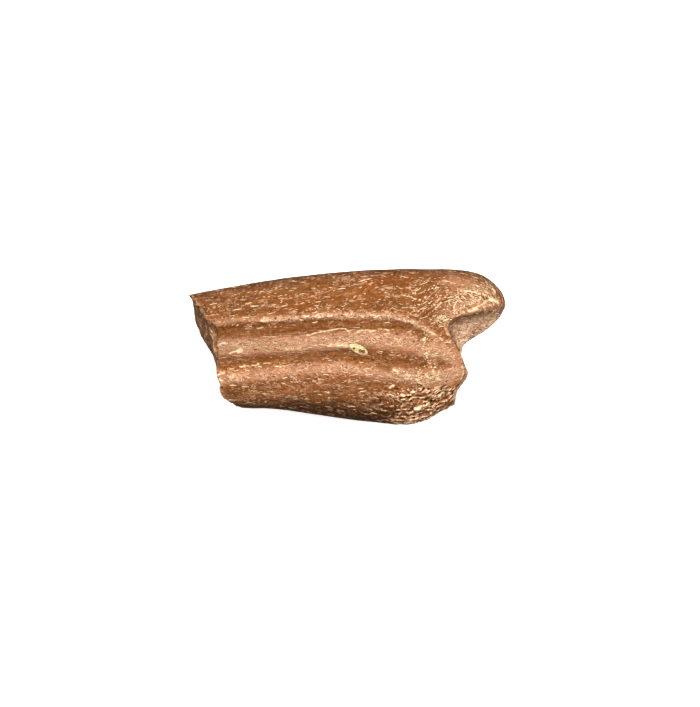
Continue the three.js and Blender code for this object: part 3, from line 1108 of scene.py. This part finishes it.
@dataclass(frozen=True)
class FossilBone:
    """Iron-stained fossil bone, weathered out of red beds and brushed clean.

    It looks satin where it is worn and dull where it is rough: reddish-brown, with pale dashes of
    mineral in the pores and painted shade round them.

    Attributes:
        umber: the dark part of the mottled ground.
        tan: its light part.
        rust: the warmer clouds in it.
        dull: the greyer clouds in it.
        worn: the colour of worn crests and flats, partly a painted sheen, and of light streaks and specks.
        pale: the light colour of threads, curls and small dashes, and a painted highlight on thin edges.
        dirt_and_shade: a dark brown, the bone's own in grooves and specks, and painted shade in hollows and
            by pale marks.
        iron_and_shade: the darkest brown, for pores and painted shade in crevices, under the rim and round
            the filling.
        belly: the painted shade along the belly and the back edge.
        calcite_and_highlight: the pale mineral in the pores, and painted highlights on the knob's thin
            edges and the rim.
        joint: the joint face.
        broken: the inside of the bone, at the break.
        knob: the rough knob.
        chip_and_highlight: the break's edge, paler where freshly chipped, and partly a painted highlight.
        filling: the mineral in the vessel hole.
        roughness: how matt the rubbed sides are.
        coarseness: how much more matt the rough knob is.
        specular: how strongly it reflects: under 0.5, because pores swallow some of the light.
        ior: its index of refraction, between quartz and apatite.
        octave: how strong each finer octave of a pattern is beside the one before.
        waver: how far the patterns waver about the fibres, in mm.
        waver_scale: how many wavers there are in a mm.
        apart: how far apart in the noise two patterns start.
        smallest: the smallest dash beside the largest.
        kept: the values that the carving left on the mesh.
    """

    umber: str = "#673C17"
    tan: str = "#7C491E"
    rust: str = "#804414"
    dull: str = "#6C482A"
    worn: str = "#D09674"
    pale: str = "#F2BE94"
    dirt_and_shade: str = "#5C330D"
    iron_and_shade: str = "#2A1404"
    belly: str = "#381D02"
    calcite_and_highlight: str = "#FFDBB0"
    joint: str = "#F8CFAC"
    broken: str = "#856040"
    knob: str = "#885636"
    chip_and_highlight: str = "#BC7A4A"
    filling: str = "#F3D6A0"
    roughness: float = 0.52
    coarseness: float = 0.2
    specular: float = 0.09
    ior: float = 1.5
    octave: float = 0.6
    waver: float = 0.7
    waver_scale: float = 0.4
    apart: float = 17.0
    smallest: float = 0.4
    kept: tuple[str, ...] = ("rubbed_and_sheen", "stained_and_shaded", "chalky_and_highlight", "worn", "broken", "joint", "chipped",
                             "filling", "bubble", "crest", "crevice", "edge_shade", "shade", "dotted",
                             "wrinkled")

    def material(self) -> bpy.types.Material:
        """Builds the finish.

        Returns:
            The material.
        """
        made = bpy.data.materials.new("iron_stained_fossil_bone")
        made.use_nodes = True
        tree = made.node_tree
        tree.nodes.clear()
        sources = self.sources(tree)
        factor, under, over, mixed = 0, 6, 7, 2  # the sockets of a Mix node set to colours
        colour = linear(self.umber)
        for coat in COATS:
            cover = self.cover(tree, sources, coat.places, coat.amount)
            colour = add(tree, "ShaderNodeMix", {"data_type": "RGBA"},
                         {factor: cover, under: colour,
                          over: linear(getattr(self, coat.colour))}).outputs[mixed]
        height = None
        for step in STEPS:
            rise = self.cover(tree, sources, step.places, step.height)
            if height is None:
                height = rise
            else:
                height = add(tree, "ShaderNodeMath", {"operation": "ADD"}, {0: height, 1: rise}).outputs[0]
        bump = add(tree, "ShaderNodeBump", {}, {"Strength": 1.0, "Distance": MM, "Height": height})
        matt = add(tree, "ShaderNodeMath", {"operation": "MULTIPLY_ADD"},
                   {0: sources["worn"], 1: self.coarseness, 2: self.roughness})
        surface = add(tree, "ShaderNodeBsdfPrincipled", {},
                      {"Base Color": colour, "Roughness": matt.outputs[0], "Normal": bump.outputs[0],
                       "IOR": self.ior, "Specular IOR Level": self.specular})
        add(tree, "ShaderNodeOutputMaterial", {}, {"Surface": surface.outputs[0]})
        return made

    def sources(self, tree: bpy.types.NodeTree) -> dict[str, bpy.types.NodeSocket]:
        """Makes what the coats and the steps follow.

        Args:
            tree: the material's nodes.

        Returns:
            Each value kept on the mesh and each pattern, by name.
        """
        found = {}
        for name in self.kept:
            value = add(tree, "ShaderNodeAttribute", {"attribute_name": name}, {})
            found[name] = value.outputs["Fac"]
        grain = add(tree, "ShaderNodeAttribute", {"attribute_name": "grain_mm"}, {}).outputs["Vector"]
        drift = add(tree, "ShaderNodeTexNoise", {},
                    {"Vector": grain, "Scale": self.waver_scale, "Detail": 2.0})
        bent = add(tree, "ShaderNodeVectorMath", {"operation": "MULTIPLY_ADD"},
                   {0: drift.outputs["Color"], 1: (self.waver,) * 3, 2: grain}).outputs[0]
        for number, (name, pattern) in enumerate(PATTERNS.items()):
            scale = [1 / s for s in pattern.size]
            shift = (self.apart * number,) * 3
            place = add(tree, "ShaderNodeMapping", {},
                        {"Vector": bent, "Scale": scale, "Location": shift}).outputs[0]
            found[name] = self.pattern(tree, pattern, place)
        return found

    def pattern(self, tree: bpy.types.NodeTree, pattern: Pattern,
                place: bpy.types.NodeSocket) -> bpy.types.NodeSocket:
        """Makes one pattern.

        Args:
            tree: the material's nodes.
            pattern: what to make.
            place: where each point is, in the pattern's own features.

        Returns:
            A cloud's strength around 0.5, how far off a thread's middle a point is, or how far
            inside a dash, negative outside.
        """
        if pattern.kind is not Kind.DASH:
            cloud = add(tree, "ShaderNodeTexNoise", {},
                        {"Vector": place, "Scale": 1.0, "Detail": pattern.detail,
                         "Roughness": self.octave, "Distortion": pattern.warp}).outputs["Fac"]
            if pattern.kind is Kind.CLOUD:
                return cloud
            offset = add(tree, "ShaderNodeMath", {"operation": "SUBTRACT"}, {0: cloud, 1: 0.5})
            return add(tree, "ShaderNodeMath", {"operation": "ABSOLUTE"},
                       {0: offset.outputs[0]}).outputs[0]
        turn = math.radians(pattern.turn)
        cells = add(tree, "ShaderNodeTexVoronoi", {}, {"Vector": place, "Scale": 1.0})
        luck = add(tree, "ShaderNodeSeparateColor", {}, {0: cells.outputs["Color"]})
        offset = add(tree, "ShaderNodeVectorMath", {"operation": "SUBTRACT"},
                     {0: place, 1: cells.outputs["Position"]})
        in_mm = add(tree, "ShaderNodeVectorMath", {"operation": "MULTIPLY"},
                    {0: offset.outputs[0], 1: pattern.size})
        angle = add(tree, "ShaderNodeMapRange", {},
                    {"Value": luck.outputs[1], "To Min": -turn, "To Max": turn})
        turned = add(tree, "ShaderNodeVectorRotate", {"rotation_type": "Z_AXIS"},
                     {"Vector": in_mm.outputs[0], "Angle": angle.outputs[0]})
        shaped = add(tree, "ShaderNodeVectorMath", {"operation": "DIVIDE"},
                     {0: turned.outputs[0], 1: pattern.mark})
        away = add(tree, "ShaderNodeVectorMath", {"operation": "LENGTH"}, {0: shaped.outputs[0]})
        reach = add(tree, "ShaderNodeMapRange", {},
                    {"Value": luck.outputs[2], "To Min": self.smallest, "To Max": 1.0})
        there = add(tree, "ShaderNodeMapRange", {},
                    {"Value": luck.outputs[0], "From Min": pattern.bare - 0.01,
                     "From Max": pattern.bare, "To Min": -FAR, "To Max": 0.0})
        inside = add(tree, "ShaderNodeMath", {"operation": "SUBTRACT"},
                     {0: reach.outputs[0], 1: away.outputs["Value"]})
        return add(tree, "ShaderNodeMath", {"operation": "ADD"},
                   {0: inside.outputs[0], 1: there.outputs[0]}).outputs[0]

    @staticmethod
    def cover(tree: bpy.types.NodeTree, sources: dict[str, bpy.types.NodeSocket],
              places: tuple[Where, ...], most: float) -> bpy.types.NodeSocket:
        """Makes a value that is `most` where all the places hold, and 0 where one doesn't.

        Args:
            tree: the material's nodes.
            sources: the patterns and kept values, by name.
            places: what has to hold.
            most: the value where all hold.

        Returns:
            The value.
        """
        total = None
        for place in places:
            share = add(tree, "ShaderNodeMapRange", {"interpolation_type": "SMOOTHSTEP"},
                        {"Value": sources[place.source], "From Min": place.low, "From Max": place.high,
                         "To Min": 0.0, "To Max": most if total is None else 1.0}).outputs[0]
            if total is None:
                total = share
            else:
                total = add(tree, "ShaderNodeMath", {"operation": "MULTIPLY"},
                            {0: total, 1: share}).outputs[0]
        return total


# The table, the lights and the camera


@dataclass(frozen=True)
class Lamp:
    """A soft square lamp.

    Attributes:
        name: what it is for.
        place: where it hangs, in m.
        size: how long its sides are, in m.
        power: its power in W.
    """

    name: str
    place: tuple[float, float, float]
    size: float
    power: float


@dataclass
class Studio:
    """A plain white table under soft light, with the camera looking straight down.

    Attributes:
        view_width: how much of the table the camera sees along its longer side, in m.
        aim: where the camera points, as x and y in m.
        lens: the camera's focal length in mm.
        sensor: how long its sensor is, in mm.
        lamps: what lights the fossil.
        room: the colour of the light from all round.
        room_strength: how strong that is.
        board: the table's colour, a matt white.
        board_size: how far it reaches from the fossil, in m.
        board_glow: how much light of its own it has, which keeps it pale.
    """

    view_width: float = 0.10775
    aim: tuple[float, float] = (0.00038, -0.00107)
    lens: float = 120.0
    sensor: float = 36.0
    lamps: tuple[Lamp, ...] = (Lamp("key_light", (-0.03, 0.19, 0.47), 0.30, 3.8),
                               Lamp("fill_light", (0.30, 0.0, 0.34), 0.34, 2.0))
    room: str = "#FFF3E6"
    room_strength: float = 0.28
    board: str = "#F8F8F8"
    board_size: float = 1.5
    board_glow: float = 0.6

    def build(self) -> None:
        """Makes the table, the lights and the camera."""
        self.table()
        for lamp in self.lamps:
            self.hang(lamp)
        self.sky()
        self.camera()

    def table(self) -> None:
        """Makes the white table."""
        mesh = bpy.data.meshes.new("table")
        shape = bmesh.new()
        bmesh.ops.create_grid(shape, x_segments=1, y_segments=1, size=self.board_size)
        shape.to_mesh(mesh)
        shape.free()
        paint = bpy.data.materials.new("white_matt_board")
        paint.use_nodes = True
        surface = paint.node_tree.nodes["Principled BSDF"]
        surface.inputs["Base Color"].default_value = linear(self.board)
        surface.inputs["Roughness"].default_value = 0.9
        surface.inputs["Emission Color"].default_value = linear("#FFFFFF")
        surface.inputs["Emission Strength"].default_value = self.board_glow
        mesh.materials.append(paint)
        table = bpy.data.objects.new("table", mesh)
        bpy.context.collection.objects.link(table)
        table.visible_diffuse = False
        table.visible_glossy = False

    @staticmethod
    def hang(lamp: Lamp) -> None:
        """Hangs a lamp that faces the fossil.

        Args:
            lamp: the lamp.
        """
        light = bpy.data.lights.new(lamp.name, "AREA")
        light.size = lamp.size
        light.energy = lamp.power
        hung = bpy.data.objects.new(lamp.name, light)
        hung.location = lamp.place
        hung.rotation_euler = (-Vector(lamp.place)).to_track_quat("-Z", "Y").to_euler()
        bpy.context.collection.objects.link(hung)

    def sky(self) -> None:
        """Lights the room evenly."""
        world = bpy.data.worlds.new("room")
        world.use_nodes = True
        background = world.node_tree.nodes["Background"]
        background.inputs["Color"].default_value = linear(self.room)
        background.inputs["Strength"].default_value = self.room_strength
        bpy.context.scene.world = world

    def camera(self) -> None:
        """Sets the camera above the middle of the fossil's thickness."""
        low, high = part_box("claw")
        lens = bpy.data.cameras.new("camera")
        lens.lens = self.lens
        lens.sensor_width = self.sensor
        lens.clip_start = 0.01
        camera = bpy.data.objects.new("camera", lens)
        distance = self.view_width * self.lens / self.sensor
        camera.location = (*self.aim, (low[2] + high[2]) / 2 + distance)
        bpy.context.collection.objects.link(camera)
        bpy.context.scene.camera = camera
        bpy.context.scene.view_settings.view_transform = "Standard"


def main() -> None:
    """Builds the fossil and its studio."""
    Studio().build()
    bone = ClawBone()
    piece = bone.build()
    piece.data.materials.append(FossilBone().material())
    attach(piece, "root")
    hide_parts(bone.node)
    log.info("%s: %d faces", piece.name, len(piece.data.polygons))


if __name__ == "__main__":
    main()
